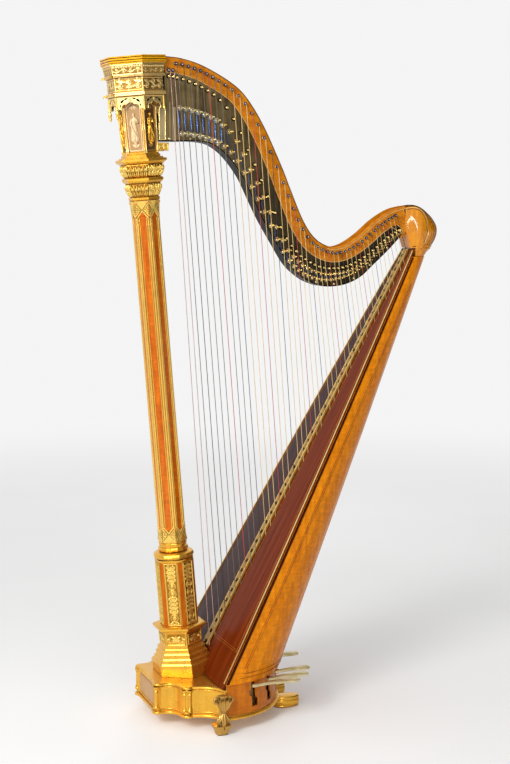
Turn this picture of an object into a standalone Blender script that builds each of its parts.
"""A Gothic style double-action pedal harp, built piece by piece at its real size.

Units are metres and +Z is up. The drawing below uses X from the column towards the
soundbox, Y across the harp and Z up from the floor, with X = 0 where the column's axis
meets the floor. A root empty then shifts the whole harp so that its box is centred.
The strings, the fork discs and the tuning pin heads are on the -Y side.
"""

import math

import bmesh
import bpy
from mathutils import Matrix, Vector

GAP = 0.0003

# The harp as a whole
BOX_CENTRE_X = 0.26563
COLUMN_LEAN = math.radians(4.44)

# Column: a profile lists distances along its leaning axis and radii to the hexagon's corners
BORE_RADIUS = 0.028
# Faces that the neck leaves free, counted from the front left
OPEN_FACES = (0, 1, 2, 3, 5)
PLINTH_FOOT_Z = 0.1185
PLINTH_TOP = 0.289
PLINTH_BORE = 0.034
PLINTH_BORE_TOP = 0.130
PLINTH_STEPS = [(0.142, 0.0836), (0.1455, 0.0790), (0.149, 0.0812), (0.154, 0.0805), (0.1575, 0.0745),
                (0.168, 0.0720), (0.172, 0.0675), (0.184, 0.0650), (0.188, 0.0615)]
PLINTH_PANEL = [(0.202, 0.0595), (0.236, 0.0590), (0.240, 0.0660), (0.247, 0.0745), (0.255, 0.0763),
                (0.259, 0.0715), (0.268, 0.0640), (0.278, 0.0600), (PLINTH_TOP, 0.0580)]
PLINTH_ROOM_LOW = 0.105
PEDESTAL_TOP = 0.4405
PEDESTAL_PROFILE = [(PLINTH_TOP + GAP, 0.0565), (0.2933, 0.0565), (0.2953, 0.0550), (0.4335, 0.0550),
                    (0.4355, 0.0570), (PEDESTAL_TOP, 0.0570)]
PEDESTAL_CHAMFER = 0.009
PEDESTAL_BORE = 0.030
# Each turned ring: its low and high end, the radius of its core and how far it stands out
RING_TOP = 0.4875
RING_SIDES = 16
BASE_RINGS = [(0.4415, 0.4585, 0.0475, 0.0081), (0.4605, 0.4745, 0.0365, 0.0051),
              (0.4785, 0.4855, 0.0365, 0.0025)]
SHAFT_TOP = 1.4085
SHAFT_PROFILE = [(RING_TOP + GAP, 0.0395), (0.4918, 0.0395), (0.4948, 0.0375), (0.519, 0.0370),
                 (0.522, 0.0385), (0.525, 0.0385), (0.527, 0.0362), (1.368, 0.0357), (1.370, 0.0380),
                 (1.374, 0.0380), (1.377, 0.0365), (1.398, 0.0385), (1.402, 0.0415), (SHAFT_TOP, 0.0415)]
BELL_TOP = 1.5215
BELL_PROFILE = [(SHAFT_TOP + GAP, 0.0400), (1.412, 0.0425), (1.417, 0.0425), (1.420, 0.0380),
                (1.431, 0.0440), (1.443, 0.0480), (1.453, 0.0460), (1.456, 0.0510), (1.461, 0.0564),
                (1.467, 0.0564), (1.471, 0.0490), (1.480, 0.0545), (1.492, 0.0580), (1.502, 0.0560),
                (1.505, 0.0610), (1.511, 0.0697), (1.5165, 0.0697), (1.518, 0.0610), (BELL_TOP, 0.0590)]
DRUM_TOP = 1.6775
DRUM_PROFILE = [(BELL_TOP + GAP, 0.0530), (BELL_TOP + 0.006, 0.0530), (BELL_TOP + 0.008, 0.0490),
                (DRUM_TOP - 0.004, 0.0530), (DRUM_TOP, 0.0530)]
DRUM_BORE = 0.026
DRUM_PANEL_FRAME = 0.0045
DRUM_PANEL_SLOPE = 0.0015
DRUM_PANEL_DEPTH = 0.003
# An outer face of the drum is larger than this area; the neck's side lies further back than this
DRUM_FACE_AREA = 0.006
DRUM_NECK_SIDE = 0.035
BRACKET = [(-0.095, 1.5555), (-0.047, 1.5555), (-0.047, 1.549), (-0.056, 1.5400), (-0.064, 1.534),
           (-0.095, 1.532)]
BRACKET_HALF = 0.0215
HEAD_TOP = 1.7598
HEAD_LOW = DRUM_TOP + GAP
HEAD_BORE = 0.030
CANOPY_DROP = 0.044
CANOPY_INSIDE = 0.0665
CANOPY_LOW = HEAD_LOW - CANOPY_DROP
HEAD_OUTSIDE = [(CANOPY_LOW, 0.0700), (CANOPY_LOW + 0.004, 0.0735), (HEAD_LOW, 0.0745),
                (HEAD_LOW + 0.002, 0.0814), (HEAD_LOW + 0.011, 0.0814), (HEAD_LOW + 0.0135, 0.0745),
                (1.7250, 0.0755), (1.7275, 0.0830), (1.7330, 0.0830), (1.7350, 0.0795), (1.7560, 0.0830),
                (HEAD_TOP, 0.0850)]
# Canopy arches: half width, share of it at the shoulders, and depths below the tip
ARCH_TIP = DRUM_TOP - 0.010
ARCH_HALF = 0.026
ARCH_SHOULDER = 0.72
ARCH_SHOULDER_DEPTH = 0.010
ARCH_SPRING_DEPTH = 0.022
ARCH_CUT_LOW = CANOPY_LOW - 0.010
ARCH_CUT_RADII = (0.050, 0.085)
NOTCH_RADII = (0.040, 0.090)
NOTCH_HALF = 0.033
SLAB_TOP = 1.780
SLAB_PROFILE = [(HEAD_TOP + GAP, 0.0860), (1.7635, 0.0870), (1.7645, 0.0885), (1.7675, 0.0885),
                (1.7685, 0.0870), (1.7700, 0.0870), (1.7710, 0.0885), (1.7740, 0.0885), (1.7750, 0.0870),
                (1.7765, 0.0870), (1.7772, 0.0890), (SLAB_TOP, 0.0890)]
# Neck: its top edge runs from the capital to the shoulder
NECK_TOP = [(-0.0580, 1.7785), (-0.012, 1.774), (0.047, 1.757), (0.122, 1.718), (0.168, 1.679),
            (0.217, 1.606), (0.270, 1.497), (0.297, 1.433), (0.334, 1.350), (0.369, 1.302),
            (0.411, 1.279), (0.452, 1.282), (0.500, 1.309), (0.552, 1.351), (0.600, 1.3785),
            (0.640, 1.389)]
NECK_BAND = 0.042
NECK_HALF = 0.026
NECK_CHAMFER = 0.005

# Brass action plates, hung below the neck on both sides of the ebonised soffit
PLATE_FACE = 0.0235
PLATE_THICK = 0.002
PLATE_TOP_LAST_X = 0.600
PLATE_END = [(0.616, 1.3355), (0.627, 1.3270), (0.6305, 1.3150), (0.6235, 1.3010)]
UNDERSIDE = [(-0.0755, 1.5590), (-0.030, 1.5590), (0.018, 1.5600), (0.052, 1.5570), (0.079, 1.5485),
             (0.116, 1.5200), (0.1565, 1.4680), (0.1876, 1.4070), (0.216, 1.3515), (0.2556, 1.2860),
             (0.290, 1.2320), (0.324, 1.2000), (0.358, 1.1800), (0.400, 1.1690), (0.455, 1.1730),
             (0.504, 1.1930), (0.5455, 1.2280), (0.5915, 1.2690), (0.6235, 1.3010)]
PLATE_LEFT_X = -0.058
PLATE_CORNER_RISE = 0.0005
PLATE_STEP_Z = 1.632
SOFFIT_THICK = 0.005
NUT_PEG_RADIUS = 0.0014
NUT_PEG_TIP = 0.0360
NUT_PEG_CLEAR = 0.0021
# Discs that don't move: up to which string, their radius and their sides
FIXED_DISCS = [(19, 0.0056, 6), (46, 0.0036, 4)]
# How deep a piece that is united with another one reaches into it
ROOT = 0.001

# Shoulder: side outline, with the share of the rounding that draws each point in at the outer faces
SHOULDER = [(0.6403, 1.3890, 0.15), (0.6637, 1.3923, 0.25), (0.6800, 1.3900, 0.35), (0.697, 1.3825, 0.5),
            (0.7120, 1.3720, 0.7), (0.7265, 1.3600, 0.85), (0.7375, 1.3460, 0.95), (0.7440, 1.3340, 1.0),
            (0.7459, 1.3220, 1.0), (0.7450, 1.3080, 1.0), (0.7400, 1.2940, 1.0), (0.7330, 1.2820, 0.9),
            (0.7360, 1.2760, 0.9), (0.7360, 1.2680, 0.9), (0.7270, 1.2590, 0.8), (0.7180, 1.2488, 0.7),
            (0.6680, 1.2488, 0.0), (0.6680, 1.2725, 0.0), (0.6570, 1.2725, 0.0), (0.6510, 1.2810, 0.0),
            (0.6440, 1.2930, 0.0), (0.6370, 1.3060, 0.0), (0.6350, 1.3200, 0.0), (0.6365, 1.3340, 0.0),
            (0.6403, 1.3455, 0.0)]
SHOULDER_CENTRE = (0.683, 1.320)
SHOULDER_HALF = 0.040
SHOULDER_SPREAD = (0.640, 0.690)
# How far the outline is drawn in, at shares of the half thickness
SHOULDER_ROUNDING = [(-1.0, 0.030), (-0.86, 0.014), (-0.55, 0.004), (0.0, 0.0), (0.55, 0.004),
                     (0.86, 0.014), (1.0, 0.030)]
# Soundboard: its front plane leans back from the column's foot to the shoulder
BOARD_FOOT = (0.0690, 0.1863)
BOARD_SLOPE = 0.5477
BOARD_LOW_T = -0.0755
BOARD_TOP_T = 1.2340
BOARD_THICK = 0.003
BOARD_BELLY = 0.008
BOARD_HALF = (0.203, -0.100, -0.026)
BOARD_STATIONS = 9
BOARD_SHARES = (-1.0, -0.66, -0.33, 0.0, 0.33, 0.66, 1.0)
RIB_HALF = (0.015, 0.011)
RIB_THICK = 0.0063
RIB_BEVEL = (0.002, 0.0015)
RIB_LOW_T = -0.006
RIB_TOP_T = 1.2320

# Soundbox shell: half-ellipse sections behind the soundboard, open at the front
SHELL_LOW_Z = 0.130
SHELL_TOP_Z = 1.2482
SHELL_REAR = (0.260, 0.402)
SHELL_WALL = 0.005
SHELL_FLOOR = 0.008
SHELL_STATIONS = 9
SHELL_FACETS = 16
SHELL_SETBACK = 0.0040
SHELL_OVERHANG = 0.003
SOUND_HOLE_SIDES = 14
SOUND_HOLE_CUT = (-0.035, 0.020)
SOUND_HOLES = [(0.30, 0.060, 0.032), (0.50, 0.058, 0.030), (0.69, 0.052, 0.026), (0.86, 0.045, 0.021),
               (1.01, 0.038, 0.016)]

# Pedal box
FLOOR_LOW_Z = 0.032
FLOOR_TOP_Z = 0.044
LID_LOW_Z = 0.110
LID_TOP_Z = 0.118
LID_REAR_X = 0.042
WALL_CENTRE_X = 0.0447
WALL_RADIUS = 0.207
WALL_THICK = 0.008
WALL_TOP_Z = 0.1295
FLOOR_PROFILE = [(FLOOR_LOW_Z, 0.003), (0.0345, 0.006), (0.0385, 0.006), (0.0410, 0.001),
                 (FLOOR_TOP_Z, 0.001)]
LID_PROFILE = [(LID_LOW_Z, 0.001), (0.1115, 0.004), (0.1160, 0.004), (LID_TOP_Z, 0.001)]
LID_HOLE = (0.100, 0.130)
REAR_ARC_STEPS = 12

# Plan of the box's serpentine front on the +Y side; an arc is its two ends, its sag and its steps
FRONT_FACE_X = -0.112
FRONT_FLAT_HALF = 0.070
FRONT_COLONETTE = (-0.106, 0.083, 135)
FRONT_ARC = ((-0.094, 0.091), (-0.057, 0.129), -0.008, 4)
MID_COLONETTE = (-0.042, 0.141, 115)
SIDE_CORNER = (0.0443, 0.207)
SIDE_ARC = ((-0.030, 0.149), SIDE_CORNER, -0.012, 5)
COLONETTE_RADIUS = 0.011
COLONETTE_TURNS = (75, 37, 0, -37, -75)
INNER_FACE_X = -0.103
INNER_FLAT_HALF = 0.0735
INNER_FRONT_ARC = ((-0.0890, 0.0838), (-0.0490, 0.1240), -0.008, 4)
INNER_SIDE_ARC = ((-0.0300, 0.1395), (0.0443, 0.1950), -0.012, 5)

# Feet: each level is its height, its span of X and its distances from the middle plane
FOOT_BLOCK = [(0.0, 0.008, 0.053, 0.186, 0.231), (0.022, 0.007, 0.054, 0.185, 0.232),
              (0.030, 0.012, 0.049, 0.188, 0.231)]
FOOT_LEG = [(0.026, 0.017, 0.045, 0.216, 0.230), (0.042, 0.022, 0.041, 0.2155, 0.226),
            (0.060, 0.020, 0.043, 0.2155, 0.227), (0.080, 0.014, 0.048, 0.2155, 0.229),
            (0.096, 0.010, 0.051, 0.2155, 0.2305), (0.1085, 0.018, 0.043, 0.2155, 0.2310)]
FOOT_LEG_TAPER = 0.005
REAR_FOOT_CENTRE = (0.2740, 0.055)
REAR_FOOT_RADII = (0.039, 0.022)
REAR_FOOT_SIDES = 14
REAR_FOOT_PROFILE = [(0.0, 0.86), (0.004, 0.95), (0.010, 1.0), (0.022, 1.0), (0.029, 0.94), (0.0315, 0.84)]
# Pedals: note, wall angle of its slot, tip of its foot plate
PEDALS = [("d", 67, (0.261, -0.192)), ("c", 48, (0.302, -0.150)), ("b", 28, (0.326, -0.100)),
          ("e", -9, (0.345, 0.033)), ("f", -29, (0.326, 0.100)), ("g", -48, (0.302, 0.150)),
          ("a", -67, (0.261, 0.192))]
MIDDLE_LANE = 3
AXLE_X = -0.075
AXLE_Z = 0.062
AXLE_RADIUS = 0.004
AXLE_HALF = 0.0345
AXLE_SEAT = 0.0004
HUB_PITCH = 0.008
HUB_RADIUS = 0.009
HUB_HALF = 0.0030
HUB_CLEARANCE = 0.0006
HUB_SIDES = 10
# Cheeks that hold the axle: their two faces, half lengths at foot and top, and height over the axle
CHEEK_FACES = (0.0285, 0.0350)
CHEEK_HALVES = (0.012, 0.008)
CHEEK_RISE = 0.008
# A pedal's bar: half width and half height of its shank and of the stretch in its slot
SHANK_SIZE = (0.0027, 0.0060)
NECKED_SIZE = (0.0040, 0.0045)
NECKED_REACH = (-0.014, 0.003)
BAR_CHAMFER = 0.35
# Foot plate: share of its length, half width and half height; it is level from SPOON_LEVEL on
SPOON = [(0.16, 0.0050, 0.0045), (0.36, 0.0075, 0.0045), (0.62, 0.0110, 0.0040), (0.84, 0.0115, 0.0035),
         (0.96, 0.0080, 0.0030), (1.0, 0.0035, 0.0025)]
SPOON_LEVEL = 0.36
SHANK_SPREAD_X = (0.002, 0.014, 0.026, 0.030, 0.026, 0.014, 0.002)
SLOT_REST_Z = 0.1145
SPOON_Z = 0.1190
SLOT_LOW_Z = 0.058
SLOT_TOP_Z = 0.1265
SLOT_HALF = 0.0075
SLOT_NOTCH = 0.0150
SLOT_OUTLINE = [(-SLOT_HALF, SLOT_TOP_Z), (-SLOT_HALF, 0.104), (-SLOT_NOTCH, 0.104), (-SLOT_NOTCH, 0.090),
                (-SLOT_HALF, 0.086), (-SLOT_HALF, SLOT_LOW_Z), (SLOT_NOTCH, SLOT_LOW_Z),
                (SLOT_NOTCH, 0.077), (SLOT_HALF, 0.081), (SLOT_HALF, SLOT_TOP_Z)]
SLOT_CUT = 0.020

# Strings: string 1 is the lowest, at the column
STRINGS = 46
RIB_LINE_LOW = (0.0564, 0.1933)
RIB_LINE_TOP = (0.6451, 1.2503)
FOOT_PITCH = (0.0320, 0.0218)
PIN_MARKS = [(1, -0.050), (2, -0.0385), (3, -0.030), (10, 0.088), (20, 0.271), (30, 0.416), (40, 0.543),
             (46, 0.607)]
PIN_DEPTH = 0.0165
LOW_PIN_Z = 1.7420
NUT_MARKS = [(1, 0.050), (9, 0.052), (14, 0.068), (19, 0.066), (30, 0.058), (46, 0.060)]
STRING_Y = -0.0335
STRING_RADIUS = (0.0009, 0.0005)
STRING_ROOT = 0.003
STRING_PIN_GAP = 0.0004
NUT_SEARCH = 0.200
NUT_SEARCH_STEP = 0.001
UPPER_DISC_AT = 0.053
LOWER_DISC_AT = 0.098
FIRST_DISC_STRING = 3
PIN_RADIUS = 0.0029
PIN_REACH = (0.038, 0.040)

# Fork discs that move: one for each note of the bass octave
DISC_RADIUS = 0.0075
DISC_SIDES = 10
DISC_FACE = 0.0268
DISC_BACK = 0.0241
PRONG_CIRCLE = 0.0058
PRONG_RADIUS = 0.0012
PRONG_SIDES = 4
PRONG_TIP = 0.0400
SPINDLE_RADIUS = 0.0022
SPINDLE_HOLE = 0.0032
SPINDLE_HOLE_DEPTH = 0.010
SPINDLE_TIP = 0.0130
LINK_FACES = (0.0284, 0.0274)
LINK_HALF = 0.0021
LINK_BLADE_FROM = 0.006
LINK_EYE_STEP = math.radians(50)
LINK_EYE = 0.0034
LINK_HOLE = 0.0018
DISC_NOTES = ["e", "f", "g", "a", "b", "c", "d"]

# Pull rods
ROD_RADIUS = 0.0015
ROD_TOP = 1.600
ROD_TOP_PITCH = 0.004
ROD_END_GAP = 0.0014
ROD_FOOT_STEPS = 5

GOLD = ("gilding", (0.72, 0.48, 0.14), 0.35, 0.8)
MAPLE = ("golden_maple", (0.72, 0.36, 0.06), 0.30, 0.0)
SPRUCE = ("soundboard_varnish", (0.33, 0.10, 0.03), 0.35, 0.0)
BRASS = ("action_brass", (0.45, 0.36, 0.16), 0.40, 0.9)
BRIGHT_BRASS = ("pedal_brass", (0.74, 0.64, 0.36), 0.30, 0.9)
EBONY = ("ebonised_wood", (0.02, 0.02, 0.02), 0.40, 0.0)
BLUED = ("blued_steel", (0.10, 0.20, 0.42), 0.30, 0.9)
IRON = ("iron", (0.20, 0.20, 0.21), 0.45, 0.9)
GUT = ("strings", (0.62, 0.45, 0.22), 0.40, 0.0)


def clear_scene():
    for item in list(bpy.data.objects):
        bpy.data.objects.remove(item, do_unlink=True)


def get_material(finish):
    name, colour, roughness, metallic = finish
    found = bpy.data.materials.get(name)
    if found:
        return found
    made = bpy.data.materials.new(name)
    made.use_nodes = True
    shader = made.node_tree.nodes["Principled BSDF"]
    shader.inputs["Base Color"].default_value = (*colour, 1.0)
    shader.inputs["Roughness"].default_value = roughness
    shader.inputs["Metallic"].default_value = metallic
    return made


def make_root():
    root = bpy.data.objects.new("harp", None)
    root.location = (-BOX_CENTRE_X, 0.0, 0.0)
    bpy.context.scene.collection.objects.link(root)
    return root


def add_piece(name, mesh_data, finish, origin=(0.0, 0.0, 0.0), smooth_angle=None):
    """Turns a bmesh into a named object whose origin is at the given drawing point."""
    bmesh.ops.recalc_face_normals(mesh_data, faces=mesh_data.faces)
    bmesh.ops.translate(mesh_data, verts=mesh_data.verts, vec=-Vector(origin))
    mesh = bpy.data.meshes.new(name)
    mesh_data.to_mesh(mesh)
    mesh_data.free()
    mesh.materials.append(get_material(finish))
    if smooth_angle:
        mesh.shade_smooth()
        mesh.set_sharp_from_angle(angle=math.radians(smooth_angle))
    piece = bpy.data.objects.new(name, mesh)
    piece.location = origin
    piece.parent = bpy.data.objects["harp"]
    bpy.context.scene.collection.objects.link(piece)
    return piece


def combine(piece, mesh_data, operation, crossing=False):
    """Unites a piece with a guide body, or cuts it away; the guide's own bodies may cross."""
    guide = add_piece(f"guide_{operation.lower()}_{piece.name}", mesh_data, IRON)
    guide.hide_render = True
    guide.display_type = "WIRE"
    modifier = piece.modifiers.new(operation.lower(), "BOOLEAN")
    modifier.operation = operation
    modifier.solver = "EXACT"
    modifier.use_self = crossing
    modifier.object = guide


def loft(rings, closed=False):
    """Skins rings with equal counts of points; open stacks get a cap on both ends."""
    shape = bmesh.new()
    rows = [[shape.verts.new(point) for point in ring] for ring in rings]
    pairs = list(zip(rows, rows[1:]))
    if closed:
        pairs.append((rows[-1], rows[0]))
    for low, high in pairs:
        for k in range(len(low)):
            following = (k + 1) % len(low)
            shape.faces.new((low[k], low[following], high[following], high[k]))
    if not closed:
        shape.faces.new(list(reversed(rows[0])))
        shape.faces.new(rows[-1])
    return shape


def join_shapes(shapes):
    """Gathers separate bodies in one bmesh, for use as a guide body."""
    total = bmesh.new()
    for shape in shapes:
        carrier = bpy.data.meshes.new("carrier")
        bmesh.ops.recalc_face_normals(shape, faces=shape.faces)
        shape.to_mesh(carrier)
        shape.free()
        total.from_mesh(carrier)
        bpy.data.meshes.remove(carrier)
    return total


def side_prism(outline, y_low, y_high):
    """A plate with an outline in XZ, between two values of Y."""
    return loft([[(x, y_low, z) for x, z in outline], [(x, y_high, z) for x, z in outline]])


def plan_prism(outline, z_low, z_high):
    """A block with an outline in XY, between two heights."""
    return loft([[(x, y, z_low) for x, y in outline], [(x, y, z_high) for x, y in outline]])


def round_bar(start, end, radius, sides, twist=0.0):
    """A straight round bar between two points."""
    start, end = Vector(start), Vector(end)
    turn = (end - start).to_track_quat("Z", "Y").to_matrix()
    rings = []
    for centre in (start, end):
        ring = []
        for k in range(sides):
            angle = twist + 2.0 * math.pi * k / sides
            ring.append(centre + turn @ Vector((radius * math.cos(angle), radius * math.sin(angle), 0)))
        rings.append(ring)
    return loft(rings)


def smooth_curve(points, per_span):
    """A Catmull-Rom curve through the points."""
    first = tuple(2 * a - b for a, b in zip(points[0], points[1]))
    last = tuple(2 * a - b for a, b in zip(points[-1], points[-2]))
    padded = [first, *points, last]
    curve = []
    for k in range(1, len(padded) - 2):
        for step in range(per_span):
            curve.append(span_point(padded[k - 1:k + 3], step / per_span))
    curve.append(tuple(points[-1]))
    return curve


def span_point(four, t):
    weights = ((-t + 2 * t * t - t ** 3) / 2, (2 - 5 * t * t + 3 * t ** 3) / 2,
               (t + 4 * t * t - 3 * t ** 3) / 2, (t ** 3 - t * t) / 2)
    return tuple(sum(w * point[axis] for w, point in zip(weights, four)) for axis in (0, 1))


def offset_curve(curve, distance):
    """Moves each point of an open curve to the right of its direction."""
    moved = []
    for k, (x, z) in enumerate(curve):
        before, after = curve[max(k - 1, 0)], curve[min(k + 1, len(curve) - 1)]
        dx, dz = after[0] - before[0], after[1] - before[1]
        length = math.hypot(dx, dz)
        moved.append((x + distance * dz / length, z - distance * dx / length))
    return moved


def height_on(curve, x):
    for (x0, z0), (x1, z1) in zip(curve, curve[1:]):
        if x0 <= x <= x1:
            return z0 + (z1 - z0) * (x - x0) / (x1 - x0)
    return curve[-1][1]


def between_marks(marks, number):
    """A value for a string, read between the strings at which it is given."""
    return height_on(marks, number)


def distance_to(curve, point):
    px, pz = point
    nearest = 1.0
    for (x0, z0), (x1, z1) in zip(curve, curve[1:]):
        dx, dz = x1 - x0, z1 - z0
        along = max(0.0, min(1.0, ((px - x0) * dx + (pz - z0) * dz) / (dx * dx + dz * dz)))
        nearest = min(nearest, math.hypot(px - x0 - along * dx, pz - z0 - along * dz))
    return nearest


def column_point(distance, radius, angle):
    """A point around the column; angle 0 is -Y and 90 degrees is the front."""
    front, side = radius * math.sin(angle), radius * math.cos(angle)
    x = -distance * math.sin(COLUMN_LEAN) - front * math.cos(COLUMN_LEAN)
    z = distance * math.cos(COLUMN_LEAN) - front * math.sin(COLUMN_LEAN)
    return (x, -side, z)


def column_ring(distance, radius, sides=6):
    return [column_point(distance, radius, 2 * math.pi * k / sides) for k in range(sides)]


def chamfered_ring(distance, radius, cut):
    """A hexagon whose corners are cut back by a length along each side."""
    ring = []
    reach = math.hypot(radius - cut / 2, cut * math.sqrt(3) / 2)
    half = math.atan2(cut * math.sqrt(3) / 2, radius - cut / 2)
    for k in range(6):
        corner = 2 * math.pi * k / 6
        ring.append(column_point(distance, reach, corner - half))
        ring.append(column_point(distance, reach, corner + half))
    return ring


def column_tube(profile, sides=6, bore=BORE_RADIUS):
    """A hollow column piece: its outside follows the profile, its inside is straight."""
    outside = [column_ring(distance, radius, sides) for distance, radius in profile]
    inside = [column_ring(profile[-1][0], bore, sides), column_ring(profile[0][0], bore, sides)]
    return loft(outside + inside, closed=True)


def make_plinth():
    rings = [column_ring(distance, radius) for distance, radius in PLINTH_STEPS + PLINTH_PANEL]
    rings.append(column_ring(PLINTH_TOP, BORE_RADIUS))
    rings.append(column_ring(PLINTH_BORE_TOP, PLINTH_BORE))
    shape = loft([level_ring(PLINTH_STEPS[0][1]), *rings, level_ring(PLINTH_BORE)], closed=True)
    add_piece("column_plinth", shape, GOLD)


def plinth_room():
    """The room that the soundboard and the shell leave round the plinth."""
    stations = [(PLINTH_ROOM_LOW, PLINTH_STEPS[0][1]), *PLINTH_STEPS]
    return loft([column_ring(distance, radius + 2 * GAP) for distance, radius in stations])


def level_ring(radius):
    """The column's hexagon cut level, just above the pedal box."""
    ring = []
    for k in range(6):
        angle = 2 * math.pi * k / 6
        rise = PLINTH_FOOT_Z + radius * math.sin(angle) * math.sin(COLUMN_LEAN)
        ring.append(column_point(rise / math.cos(COLUMN_LEAN), radius, angle))
    return ring


def make_pedestal():
    rings = [chamfered_ring(distance, radius, PEDESTAL_CHAMFER) for distance, radius in PEDESTAL_PROFILE]
    turned = [ring[1:] + ring[:1] for ring in rings]
    ends = (PEDESTAL_PROFILE[-1][0], PEDESTAL_PROFILE[0][0])
    turned += [column_ring(distance, PEDESTAL_BORE, 12) for distance in ends]
    add_piece("column_pedestal", loft(turned, closed=True), GOLD)


def bulge(low, high, core, depth, steps=4):
    """Points of a half-round moulding on a turned profile."""
    points = []
    for k in range(steps + 1):
        angle = math.pi * k / steps
        points.append(((low + high) / 2 - (high - low) / 2 * math.cos(angle), core + depth * math.sin(angle)))
    return points


def make_base_ring():
    profile = [(PEDESTAL_TOP + GAP, BASE_RINGS[0][2])]
    for ring in BASE_RINGS:
        profile += bulge(*ring)
    profile.append((RING_TOP, BASE_RINGS[-1][2]))
    shape = column_tube(profile, sides=RING_SIDES, bore=PEDESTAL_BORE)
    add_piece("column_base_ring", shape, GOLD, smooth_angle=40)


def make_shaft():
    add_piece("column_shaft", column_tube(SHAFT_PROFILE), MAPLE)


def make_bell():
    add_piece("capital_bell", column_tube(BELL_PROFILE), GOLD)


def make_drum():
    """The drum has a sunk panel on each face but the neck's, and a bracket below the neck."""
    shape = column_tube(DRUM_PROFILE, bore=DRUM_BORE)
    bmesh.ops.recalc_face_normals(shape, faces=shape.faces)
    panels = [face for face in shape.faces if is_drum_panel(face)]
    for width, depth in ((DRUM_PANEL_FRAME, 0.0), (DRUM_PANEL_SLOPE, -DRUM_PANEL_DEPTH)):
        bmesh.ops.inset_individual(shape, faces=panels, thickness=width, depth=depth, use_even_offset=True)
    drum = add_piece("capital_drum", shape, GOLD)
    combine(drum, side_prism(BRACKET, -BRACKET_HALF, BRACKET_HALF), "UNION")


def is_drum_panel(face):
    """True for the drum's tall outer faces, apart from the one that the neck covers."""
    middle = face.calc_center_median()
    behind = middle.x + middle.z * math.tan(COLUMN_LEAN)
    return face.calc_area() > DRUM_FACE_AREA and behind < DRUM_NECK_SIDE


def make_head():
    """Friezes and mouldings, with an arcaded canopy that hangs round the drum."""
    inside = [(HEAD_TOP, HEAD_BORE), (HEAD_LOW, HEAD_BORE), (HEAD_LOW, CANOPY_INSIDE),
              (CANOPY_LOW, CANOPY_INSIDE)]
    shape = loft([column_ring(distance, radius) for distance, radius in HEAD_OUTSIDE + inside], closed=True)
    head = add_piece("capital_head", shape, GOLD)
    combine(head, join_shapes([*canopy_arches(), neck_notch()]), "DIFFERENCE")


def canopy_arches():
    """Pointed openings under the canopy, one on each face but the neck's."""
    spring, shoulder = ARCH_TIP - ARCH_SPRING_DEPTH, ARCH_TIP - ARCH_SHOULDER_DEPTH
    outline = [(-ARCH_HALF, ARCH_CUT_LOW), (ARCH_HALF, ARCH_CUT_LOW), (ARCH_HALF, spring),
               (ARCH_HALF * ARCH_SHOULDER, shoulder), (0.0, ARCH_TIP),
               (-ARCH_HALF * ARCH_SHOULDER, shoulder), (-ARCH_HALF, spring)]
    arches = []
    for k in OPEN_FACES:
        middle = math.radians(30 + 60 * k)
        rings = []
        for radius in ARCH_CUT_RADII:
            rings.append([arch_point(distance, radius, across, middle) for across, distance in outline])
        arches.append(loft(rings))
    return arches


def arch_point(distance, radius, across, middle):
    return column_point(distance, math.hypot(radius, across), middle + math.atan2(across, radius))


def neck_notch():
    """Takes the canopy away where the action plates meet the drum."""
    near, far = NOTCH_RADII
    corners = ((near, -NOTCH_HALF), (far, -NOTCH_HALF), (far, NOTCH_HALF), (near, NOTCH_HALF))
    rings = []
    for distance in (ARCH_CUT_LOW, DRUM_TOP - GAP):
        rings.append([arch_point(distance, radius, across, math.radians(-90)) for radius, across in corners])
    return loft(rings)


def make_slab():
    add_piece("capital_slab", loft([column_ring(*station) for station in SLAB_PROFILE]), MAPLE)


def neck_edge():
    return smooth_curve(NECK_TOP, 2)


def make_neck():
    top = neck_edge()
    low = offset_curve(top, NECK_BAND)
    chamfer = offset_curve(top, NECK_CHAMFER)
    outer, inner = NECK_HALF, NECK_HALF - NECK_CHAMFER
    low[0] = (NECK_TOP[0][0], low[0][1])
    chamfer[0] = (NECK_TOP[0][0], chamfer[0][1])
    low[-1] = (NECK_TOP[-1][0], low[-1][1])
    chamfer[-1] = (NECK_TOP[-1][0], chamfer[-1][1])
    rings = []
    for (tx, tz), (cx, cz), (bx, bz) in zip(top, chamfer, low):
        rings.append([(bx, -outer, bz), (cx, -outer, cz), (tx, -inner, tz),
                      (tx, inner, tz), (cx, outer, cz), (bx, outer, bz)])
    neck = add_piece("neck", loft(rings), MAPLE)
    pins = [round_bar((x, -PIN_REACH[0], z), (x, PIN_REACH[1], z), PIN_RADIUS, 4)
            for x, z in (pin_point(number) for number in range(1, STRINGS + 1))]
    combine(neck, join_shapes(pins), "UNION")


def plate_outline():
    top = [point for point in offset_curve(neck_edge(), NECK_BAND + GAP)
           if PLATE_LEFT_X < point[0] < PLATE_TOP_LAST_X]
    top.insert(0, (PLATE_LEFT_X, top[0][1] + PLATE_CORNER_RISE))
    under = smooth_curve(UNDERSIDE, 2)
    corner = [(UNDERSIDE[0][0], PLATE_STEP_Z), (PLATE_LEFT_X, PLATE_STEP_Z)]
    return top + PLATE_END[:-1] + list(reversed(under)) + corner


def make_plates():
    outline = plate_outline()
    inner = PLATE_FACE - PLATE_THICK
    left = add_piece("action_plate_left", side_prism(outline, -PLATE_FACE, -inner), BRASS)
    add_piece("action_plate_right", side_prism(outline, inner, PLATE_FACE), BRASS)
    combine(left, join_shapes(spindle_holes()), "DIFFERENCE")
    combine(left, join_shapes(nut_pegs() + fixed_discs()), "UNION", crossing=True)


def spindle_holes():
    holes = []
    for number in moving_strings():
        for x, z in disc_points(number):
            holes.append(round_bar((x, -NUT_PEG_TIP, z), (x, -SPINDLE_HOLE_DEPTH, z), SPINDLE_HOLE, 6))
    return holes


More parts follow.
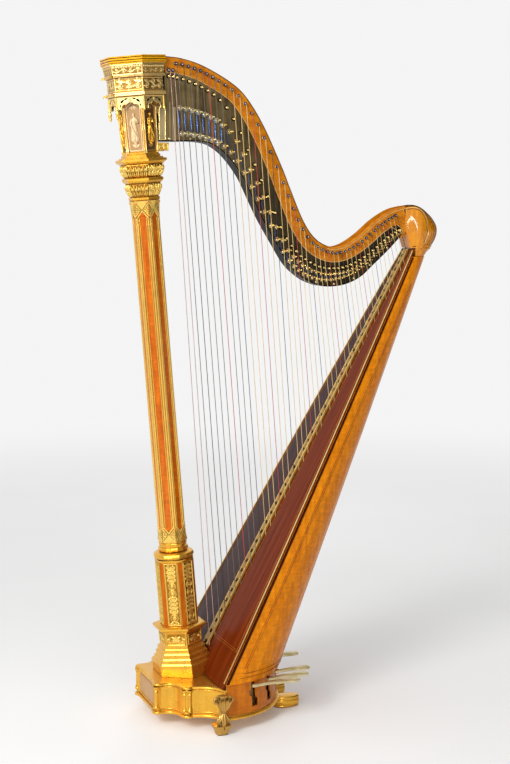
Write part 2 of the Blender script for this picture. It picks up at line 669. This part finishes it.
def nut_pegs():
    """The peg that stops each string, on the column side of the string."""
    pegs = []
    for number in range(1, STRINGS + 1):
        x, z = nut_point(number)
        x -= string_radius(number) + NUT_PEG_CLEAR
        ends = (x, -NUT_PEG_TIP, z), (x, -PLATE_FACE + ROOT, z)
        pegs.append(round_bar(*ends, NUT_PEG_RADIUS, 4, math.pi / 4))
    return pegs


def fixed_discs():
    """Discs of the other strings, plain and fused with the plate that carries them."""
    discs = []
    for number in range(FIRST_DISC_STRING, STRINGS + 1):
        if number in moving_strings():
            continue
        _, radius, sides = next(kind for kind in FIXED_DISCS if number <= kind[0])
        for x, z in disc_points(number):
            discs.append(round_bar((x, -DISC_FACE, z), (x, -PLATE_FACE + ROOT, z), radius, sides))
    return discs


def make_soffit():
    under = smooth_curve(UNDERSIDE, 2)
    inner = offset_curve(under, -SOFFIT_THICK)
    inner[0] = (under[0][0], under[0][1] + SOFFIT_THICK)
    half = PLATE_FACE - PLATE_THICK - GAP
    rings = [[(ux, -half, uz), (ux, half, uz), (ix, half, iz), (ix, -half, iz)]
             for (ux, uz), (ix, iz) in zip(under, inner)]
    add_piece("action_soffit", loft(rings), EBONY)


def shoulder_half(x):
    """The shoulder widens from the neck's thickness to the body's."""
    low, high = SHOULDER_SPREAD
    along = max(0.0, min(1.0, (x - low) / (high - low)))
    return NECK_HALF + (SHOULDER_HALF - NECK_HALF) * (3 * along ** 2 - 2 * along ** 3)


def make_shoulder():
    cx, cz = SHOULDER_CENTRE
    rings = []
    for share, inset in SHOULDER_ROUNDING:
        ring = []
        for x, z, weight in SHOULDER:
            pull = inset * weight / math.hypot(x - cx, z - cz)
            ring.append((x + (cx - x) * pull, share * shoulder_half(x), z + (cz - z) * pull))
        rings.append(ring)
    add_piece("shoulder", loft(rings), MAPLE, smooth_angle=35)


def board_axes():
    angle = math.atan(BOARD_SLOPE)
    return Vector((math.sin(angle), 0, math.cos(angle))), Vector((-math.cos(angle), 0, math.sin(angle)))


def board_point(along, across, rise):
    """A point by its distance up the soundboard, across it, and out towards the column."""
    up, out = board_axes()
    return Vector((BOARD_FOOT[0], across, BOARD_FOOT[1])) + up * along + out * rise


def board_half(along):
    a, b, c = BOARD_HALF
    return a + b * along + c * along * along


def belly_at(along):
    """The string pull bellies the board, most of all where the lowest string is anchored."""
    if along < 0.0:
        return BOARD_BELLY * (1.0 - 0.5 * along / BOARD_LOW_T)
    return BOARD_BELLY * (1.0 - along / BOARD_TOP_T)


def board_stations(low, high):
    return [low] + [high * k / BOARD_STATIONS for k in range(BOARD_STATIONS + 1)]


def make_soundboard():
    rings = []
    for along in board_stations(BOARD_LOW_T, BOARD_TOP_T):
        half, belly = board_half(along), belly_at(along)
        front = [board_point(along, share * half, belly * (1 - share * share)) for share in BOARD_SHARES]
        back = [board_point(along, share * half, belly * (1 - share * share) - BOARD_THICK)
                for share in reversed(BOARD_SHARES)]
        rings.append(front + back)
    board = add_piece("soundboard", loft(rings), SPRUCE)
    combine(board, plinth_room(), "DIFFERENCE")


def make_rib_and_strings():
    """The centre strip on the soundboard, with the strings that are anchored in it."""
    rings = []
    for along in board_stations(RIB_LOW_T, RIB_TOP_T):
        share = (along - RIB_LOW_T) / (RIB_TOP_T - RIB_LOW_T)
        half = RIB_HALF[0] + (RIB_HALF[1] - RIB_HALF[0]) * share
        low, high = belly_at(along) + 2 * GAP, belly_at(along) + RIB_THICK
        edge, flat = high - RIB_BEVEL[1], half - RIB_BEVEL[0]
        rings.append([board_point(along, -half, low), board_point(along, -half, edge),
                      board_point(along, -flat, high), board_point(along, flat, high),
                      board_point(along, half, edge), board_point(along, half, low)])
    rib = add_piece("string_rib", loft(rings), GUT)
    combine(rib, join_shapes([string_shape(number) for number in range(1, STRINGS + 1)]), "UNION")


def string_radius(number):
    share = (number - 1) / (STRINGS - 1)
    return STRING_RADIUS[0] + (STRING_RADIUS[1] - STRING_RADIUS[0]) * share


def foot_point(number):
    """Where a string leaves the rib; the spacing narrows evenly towards the treble."""
    steps = number - 1
    slope = (FOOT_PITCH[1] - FOOT_PITCH[0]) / (STRINGS - 2)
    along = steps * FOOT_PITCH[0] + slope * steps * (steps - 1) / 2
    dx, dz = RIB_LINE_TOP[0] - RIB_LINE_LOW[0], RIB_LINE_TOP[1] - RIB_LINE_LOW[1]
    length = math.hypot(dx, dz)
    return (RIB_LINE_LOW[0] + dx * along / length, RIB_LINE_LOW[1] + dz * along / length)


def pin_point(number):
    """Where a tuning pin goes through the neck; the first two sit lower."""
    x = between_marks(PIN_MARKS, number)
    z = height_on(offset_curve(neck_edge(), PIN_DEPTH), x)
    return (x, LOW_PIN_Z if number <= 2 else z)


def nut_point(number):
    """Follows the string down from its pin until it is deep enough below the neck's edge."""
    (px, pz), (fx, fz) = string_pin_side(number), foot_point(number)
    length = math.hypot(fx - px, fz - pz)
    depth = between_marks(NUT_MARKS, number)
    edge = neck_edge()
    travelled = 0.0
    while travelled < NUT_SEARCH:
        x, z = px + (fx - px) * travelled / length, pz + (fz - pz) * travelled / length
        if distance_to(edge, (x, z)) >= depth:
            break
        travelled += NUT_SEARCH_STEP
    return (x, z)


def string_pin_side(number):
    """The string leaves its pin on the side away from the column."""
    x, z = pin_point(number)
    return (x + PIN_RADIUS + string_radius(number) + STRING_PIN_GAP, z)


def disc_points(number):
    """Centres of the upper and lower disc, at their shares of the sounding length."""
    (nx, nz), (fx, fz) = nut_point(number), foot_point(number)
    return [(nx + (fx - nx) * share, nz + (fz - nz) * share) for share in (UPPER_DISC_AT, LOWER_DISC_AT)]


def string_shape(number):
    (px, pz), (nx, nz), (fx, fz) = string_pin_side(number), nut_point(number), foot_point(number)
    length = math.hypot(fx - nx, fz - nz)
    past = STRING_ROOT / length
    below = (fx + (fx - nx) * past, 0.0, fz + (fz - nz) * past)
    radius = string_radius(number)
    rings = []
    for x, y, z in ((px, STRING_Y, pz), (nx, STRING_Y, nz), below):
        rings.append([(x - radius, y + radius / 2, z), (x, y - radius, z), (x + radius, y + radius / 2, z)])
    return loft(rings)


def moving_strings():
    return range(FIRST_DISC_STRING, FIRST_DISC_STRING + len(DISC_NOTES))


def rest_prongs(number, centre):
    """Prongs lie square to the string when the pedal is up; the first is on the column side."""
    (nx, nz), (fx, fz) = nut_point(number), foot_point(number)
    length = math.hypot(fx - nx, fz - nz)
    dx, dz = (fx - nx) / length, (fz - nz) / length
    return [(centre[0] + side * PRONG_CIRCLE * dz, centre[1] - side * PRONG_CIRCLE * dx) for side in (1, -1)]


def make_disc(name, number, centre):
    x, z = centre
    plate = round_bar((x, -DISC_FACE, z), (x, -DISC_BACK, z), DISC_RADIUS, DISC_SIDES)
    disc = add_piece(name, plate, BRIGHT_BRASS, origin=(x, -PLATE_FACE, z))
    parts = [round_bar((x, -DISC_FACE + ROOT, z), (x, -SPINDLE_TIP, z), SPINDLE_RADIUS, 5)]
    for px, pz in rest_prongs(number, centre):
        ends = (px, -PRONG_TIP, pz), (px, -DISC_FACE + ROOT, pz)
        parts.append(round_bar(*ends, PRONG_RADIUS, PRONG_SIDES))
    combine(disc, join_shapes(parts), "UNION")


def make_link(name, number):
    """The blued link joins the column-side prongs of a string's two discs."""
    upper, lower = [rest_prongs(number, centre)[0] for centre in disc_points(number)]
    dx, dz = upper[0] - lower[0], upper[1] - lower[1]
    start = math.atan2(dz, dx)
    outline = []
    for (cx, cz), turn in ((upper, start), (lower, start + math.pi)):
        for k in range(-2, 3):
            angle = turn + k * LINK_EYE_STEP
            outline.append((cx + LINK_EYE * math.cos(angle), cz + LINK_EYE * math.sin(angle)))
    outline = narrow_waist(outline, upper, lower)
    link = add_piece(name, side_prism(outline, -LINK_FACES[0], -LINK_FACES[1]), BLUED,
                     origin=(upper[0], -PLATE_FACE, upper[1]))
    holes = [round_bar((x, -NUT_PEG_TIP, z), (x, -DISC_FACE, z), LINK_HOLE, 6) for x, z in (upper, lower)]
    combine(link, join_shapes(holes), "DIFFERENCE")


def narrow_waist(outline, upper, lower):
    """Adds the straight blade between the link's two eyes."""
    length = math.hypot(upper[0] - lower[0], upper[1] - lower[1])
    ux, uz = (upper[0] - lower[0]) / length, (upper[1] - lower[1]) / length
    blade = []
    for side in (-1, 1):
        for (cx, cz), inward in ((upper, -1), (lower, 1)):
            blade.append((cx + inward * ux * LINK_BLADE_FROM + side * LINK_HALF * uz,
                          cz + inward * uz * LINK_BLADE_FROM - side * LINK_HALF * ux))
    return outline[:5] + [blade[0], blade[1]] + outline[5:] + [blade[3], blade[2]]


def make_mechanism():
    for note, number in zip(DISC_NOTES, moving_strings()):
        upper, lower = disc_points(number)
        make_disc(f"upper_disc_{note}", number, upper)
        make_disc(f"lower_disc_{note}", number, lower)
        make_link(f"disc_link_{note}", number)


def arc_between(start, end, sag, steps):
    """Points on a shallow arc from start to end, sagging to the left of its direction."""
    dx, dy = end[0] - start[0], end[1] - start[1]
    length = math.hypot(dx, dy)
    points = []
    for k in range(steps + 1):
        share = k / steps
        depth = sag * 4 * share * (1 - share)
        points.append((start[0] + dx * share - depth * dy / length,
                       start[1] + dy * share + depth * dx / length))
    return points


def colonette(place, swell=0.0):
    """Half-round bulge of a colonette, which faces outwards in plan."""
    x, y, facing = place
    radius = COLONETTE_RADIUS + swell
    return [(x + radius * math.cos(math.radians(facing + turn)),
             y + radius * math.sin(math.radians(facing + turn))) for turn in COLONETTE_TURNS]


def swollen_arc(arc, swell):
    start, end, sag, steps = arc
    return arc_between((start[0], start[1] + swell), (end[0], end[1] + swell), sag, steps)


def front_half(swell=0.0):
    """Plan of the serpentine front on the +Y side, from the middle of the front to the side corner."""
    outline = [(FRONT_FACE_X - swell, 0.0), (FRONT_FACE_X - swell, FRONT_FLAT_HALF)]
    outline += colonette(FRONT_COLONETTE, swell)
    outline += swollen_arc(FRONT_ARC, swell)[1:-1]
    outline += colonette(MID_COLONETTE, swell)
    outline += swollen_arc(SIDE_ARC, swell)[1:]
    return outline


def rear_arc(radius):
    """Plan of the round back on the +Y side, from the side corner to the middle of the back."""
    turns = [math.radians(90 * k / REAR_ARC_STEPS) for k in range(REAR_ARC_STEPS + 1)]
    return [(WALL_CENTRE_X + radius * math.sin(turn), radius * math.cos(turn)) for turn in turns]


def mirrored(half):
    """Closes a half outline over the XZ plane."""
    other = [(x, -y) for x, y in reversed(half) if abs(y) > 1e-6]
    return half + other


def make_box_floor():
    rings = []
    for z, swell in FLOOR_PROFILE:
        half = front_half(swell)[:-1] + rear_arc(WALL_RADIUS + swell)
        rings.append([(x, y, z) for x, y in mirrored(half)])
    floor = add_piece("box_floor", loft(rings), GOLD)
    combine(floor, join_shapes([axle_cheek(-1), axle_cheek(1)]), "UNION")
    seat = axle_bar(CHEEK_FACES[1] + ROOT, AXLE_RADIUS + AXLE_SEAT)
    combine(floor, seat, "DIFFERENCE")


def axle_cheek(side):
    """Upright on the floor that holds one end of the pedals' axle."""
    foot, top = CHEEK_HALVES
    low, high = FLOOR_TOP_Z - ROOT, AXLE_Z + CHEEK_RISE
    outline = [(AXLE_X - foot, low), (AXLE_X + foot, low), (AXLE_X + top, high), (AXLE_X - top, high)]
    faces = sorted(side * face for face in CHEEK_FACES)
    return side_prism(outline, *faces)


def axle_bar(half, radius):
    return round_bar((AXLE_X, -half, AXLE_Z), (AXLE_X, half, AXLE_Z), radius, 12)


def make_box_front():
    outer = front_half()
    inner = [(INNER_FACE_X, 0.0), (INNER_FACE_X, INNER_FLAT_HALF)]
    inner += arc_between(*INNER_FRONT_ARC)
    inner += arc_between(*INNER_SIDE_ARC)
    outline = [(x, -y) for x, y in reversed(outer[1:])] + outer
    outline += list(reversed(inner)) + [(x, -y) for x, y in inner[1:]]
    add_piece("box_front", plan_prism(outline, FLOOR_TOP_Z + GAP, LID_LOW_Z - GAP), GOLD)


def make_box_lid():
    rings = []
    for z, swell in LID_PROFILE:
        half = front_half(swell)[:-1] + [(LID_REAR_X, SIDE_CORNER[1] + swell), (LID_REAR_X, 0.0)]
        rings.append([(x, y, z) for x, y in mirrored(half)])
    lid = add_piece("box_lid", loft(rings), GOLD)
    hole = loft([column_ring(distance, PLINTH_BORE) for distance in LID_HOLE])
    combine(lid, hole, "DIFFERENCE")


def make_box_wall():
    half = rear_arc(WALL_RADIUS)
    inner = rear_arc(WALL_RADIUS - WALL_THICK)
    outline = half + [(x, -y) for x, y in reversed(half[:-1])]
    outline += [(x, -y) for x, y in inner] + list(reversed(inner[:-1]))
    wall = add_piece("box_wall", plan_prism(outline, FLOOR_TOP_Z + GAP, WALL_TOP_Z), MAPLE)
    combine(wall, join_shapes([slot_shape(angle) for _, angle, _ in PEDALS]), "DIFFERENCE")


def slot_shape(angle):
    """The lightning-shaped slot: a straight way down with a notch to each side."""
    turn = math.radians(angle)
    followed = [(across + slot_drift(angle, z), z) for across, z in SLOT_OUTLINE]
    rings = []
    for reach in (WALL_RADIUS - SLOT_CUT, WALL_RADIUS + SLOT_CUT):
        rings.append([(WALL_CENTRE_X + reach * math.cos(turn) + across * math.sin(turn),
                       -reach * math.sin(turn) + across * math.cos(turn), z) for across, z in followed])
    return loft(rings)


def slot_drift(angle, z):
    """How far a pedal moves along the wall as it goes down, because it swings in an arc."""
    arm = slot_point(angle)[0] - AXLE_X
    reach = math.hypot(arm, SLOT_REST_Z - AXLE_Z)
    level = min(z, SLOT_REST_Z) - AXLE_Z
    return (math.sqrt(reach ** 2 - level ** 2) - arm) * math.sin(math.radians(angle))


def shell_section(z, shrink):
    """Half-ellipse of the soundbox at a height, from the -Y edge round the back to +Y."""
    along = (z - BOARD_FOOT[1]) * math.sqrt(1 + BOARD_SLOPE ** 2)
    front = BOARD_FOOT[0] + (z - BOARD_FOOT[1]) * BOARD_SLOPE + SHELL_SETBACK
    half = board_half(along) + SHELL_OVERHANG - shrink
    depth = SHELL_REAR[0] + (z - SHELL_LOW_Z) * SHELL_REAR[1] - front - shrink
    points = []
    for k in range(SHELL_FACETS + 1):
        angle = math.pi * k / SHELL_FACETS
        points.append((front + depth * math.sin(angle), -half * math.cos(angle), z))
    return points


def make_shell():
    rings = []
    for k in range(SHELL_STATIONS + 1):
        z = SHELL_LOW_Z + (SHELL_TOP_Z - SHELL_LOW_Z) * k / SHELL_STATIONS
        rings.append(shell_section(z, 0.0) + list(reversed(shell_section(z, SHELL_WALL))))
    shell = add_piece("soundbox_shell", loft(rings), MAPLE, smooth_angle=30)
    low, high = SHELL_LOW_Z + 2 * GAP, SHELL_LOW_Z + SHELL_FLOOR
    floor = loft([shell_section(z, SHELL_WALL / 2) for z in (low, high)])
    combine(shell, floor, "UNION")
    combine(shell, join_shapes([sound_hole(*hole) for hole in SOUND_HOLES]), "DIFFERENCE")
    combine(shell, plinth_room(), "DIFFERENCE")


def sound_hole(z, half_height, half_width):
    """An oval cutter square to the straight back of the soundbox."""
    lean = math.atan(SHELL_REAR[1])
    rear = SHELL_REAR[0] + (z - SHELL_LOW_Z) * SHELL_REAR[1]
    out = Vector((math.cos(lean), 0, -math.sin(lean)))
    up = Vector((math.sin(lean), 0, math.cos(lean)))
    rings = []
    for reach in SOUND_HOLE_CUT:
        centre = Vector((rear, 0, z)) + out * reach
        ring = []
        for k in range(SOUND_HOLE_SIDES):
            angle = 2 * math.pi * k / SOUND_HOLE_SIDES
            ring.append(centre + up * half_height * math.cos(angle)
                        + Vector((0, half_width * math.sin(angle), 0)))
        rings.append(ring)
    return loft(rings)


def sweep_bar(stations):
    """A chamfered bar along a path: each station is x, y, z, half width and half height."""
    rings = []
    for k, (x, y, z, wide, high) in enumerate(stations):
        before, after = stations[max(k - 1, 0)], stations[min(k + 1, len(stations) - 1)]
        dx, dy = after[0] - before[0], after[1] - before[1]
        length = math.hypot(dx, dy)
        sx, sy = -dy / length, dx / length
        cut = BAR_CHAMFER * min(wide, high)
        section = [(-wide, high - cut), (-wide, cut - high), (cut - wide, -high), (wide - cut, -high),
                   (wide, cut - high), (wide, high - cut), (wide - cut, high), (cut - wide, high)]
        rings.append([(x + sx * across, y + sy * across, z + rise) for across, rise in section])
    return loft(rings)


def slot_point(angle, extra=0.0):
    turn = math.radians(angle)
    reach = WALL_RADIUS + extra
    return (WALL_CENTRE_X + reach * math.cos(turn), -reach * math.sin(turn))


def shank_height(angle, x):
    """Height of a pedal's centre line at rest, straight from the axle to its slot."""
    return AXLE_Z + (SLOT_REST_Z - AXLE_Z) * (x - AXLE_X) / (slot_point(angle)[0] - AXLE_X)


def pedal_lane(index):
    return (index - MIDDLE_LANE) * HUB_PITCH


def pedal_stations(index, angle, tip):
    """From the axle straight to the wall, through the slot, and out to the level foot plate."""
    lane = pedal_lane(index)
    inside, outside = [slot_point(angle, reach) for reach in NECKED_REACH]
    stations = [(x, lane, shank_height(angle, x), *SHANK_SIZE) for x in (AXLE_X, SHANK_SPREAD_X[index])]
    stations.append((*inside, shank_height(angle, inside[0]), *NECKED_SIZE))
    stations.append((*outside, SLOT_REST_Z + ROOT, *NECKED_SIZE))
    for share, wide, high in SPOON:
        settle = min(1.0, share / SPOON_LEVEL)
        x = outside[0] + (tip[0] - outside[0]) * share
        y = outside[1] + (tip[1] - outside[1]) * settle
        z = SLOT_REST_Z + ROOT + (SPOON_Z - SLOT_REST_Z - ROOT) * settle
        stations.append((x, y, z, wide, high))
    return stations


def make_pedal(index, note, angle, tip):
    lane = pedal_lane(index)
    bar = sweep_bar(pedal_stations(index, angle, tip))
    pedal = add_piece(f"pedal_{note}", bar, BRIGHT_BRASS, origin=(AXLE_X, lane, AXLE_Z))
    combine(pedal, hub_bar(lane, HUB_HALF, HUB_RADIUS), "UNION")
    combine(pedal, hub_bar(lane, 2 * HUB_HALF, AXLE_RADIUS + HUB_CLEARANCE), "DIFFERENCE")


def hub_bar(lane, half, radius):
    return round_bar((AXLE_X, lane - half, AXLE_Z), (AXLE_X, lane + half, AXLE_Z), radius, HUB_SIDES)


def rod_ends(index, angle):
    """A pull rod stands over its pedal and leans with the column."""
    lane = pedal_lane(index)
    foot_distance = LID_TOP_Z
    for _ in range(ROD_FOOT_STEPS):
        x = column_point(foot_distance, 0.0, 0.0)[0]
        z = shank_height(angle, x) + SHANK_SIZE[1] + ROD_END_GAP
        foot_distance = z / math.cos(COLUMN_LEAN)
    low = column_point(foot_distance, 0.0, 0.0)
    high = column_point(ROD_TOP, 0.0, 0.0)
    return (low[0], lane, low[2]), (high[0], (index - MIDDLE_LANE) * ROD_TOP_PITCH, high[2])


def make_pedal_group():
    add_piece("pedal_axle", axle_bar(AXLE_HALF, AXLE_RADIUS), IRON)
    for index, (note, angle, tip) in enumerate(PEDALS):
        make_pedal(index, note, angle, tip)
        low, high = rod_ends(index, angle)
        add_piece(f"pull_rod_{note}", round_bar(low, high, ROD_RADIUS, 6), IRON, origin=low)


def make_front_foot(name, side):
    """A block with an acanthus leg that rises outside the pedal box's corner."""
    foot = add_piece(name, loft([foot_level(side, 0.0, *level) for level in FOOT_BLOCK]), GOLD)
    combine(foot, loft([foot_level(side, FOOT_LEG_TAPER, *level) for level in FOOT_LEG]), "UNION")


def foot_level(side, taper, z, x0, x1, y0, y1):
    """A level of a front foot: its outer side is shorter by the taper at both ends."""
    return [(x0, side * y0, z), (x1, side * y0, z), (x1 - taper, side * y1, z), (x0 + taper, side * y1, z)]


def make_rear_foot(name, side):
    (cx, cy), (rx, ry) = REAR_FOOT_CENTRE, REAR_FOOT_RADII
    turns = [2 * math.pi * k / REAR_FOOT_SIDES for k in range(REAR_FOOT_SIDES)]
    rings = []
    for z, share in REAR_FOOT_PROFILE:
        rings.append([(cx + rx * share * math.cos(turn), side * cy + ry * share * math.sin(turn), z)
                      for turn in turns])
    add_piece(name, loft(rings), GOLD, smooth_angle=50)


def make_column():
    make_plinth()
    make_pedestal()
    make_base_ring()
    make_shaft()
    make_bell()
    make_drum()
    make_head()
    make_slab()


def make_pedal_box():
    make_box_floor()
    make_box_front()
    make_box_lid()
    make_box_wall()
    for name, side in (("left", -1), ("right", 1)):
        make_front_foot(f"front_foot_{name}", side)
        make_rear_foot(f"rear_foot_{name}", side)


clear_scene()
make_root()
make_column()
make_pedal_box()
make_pedal_group()
make_neck()
make_plates()
make_soffit()
make_shoulder()
make_shell()
make_soundboard()
make_rib_and_strings()
make_mechanism()
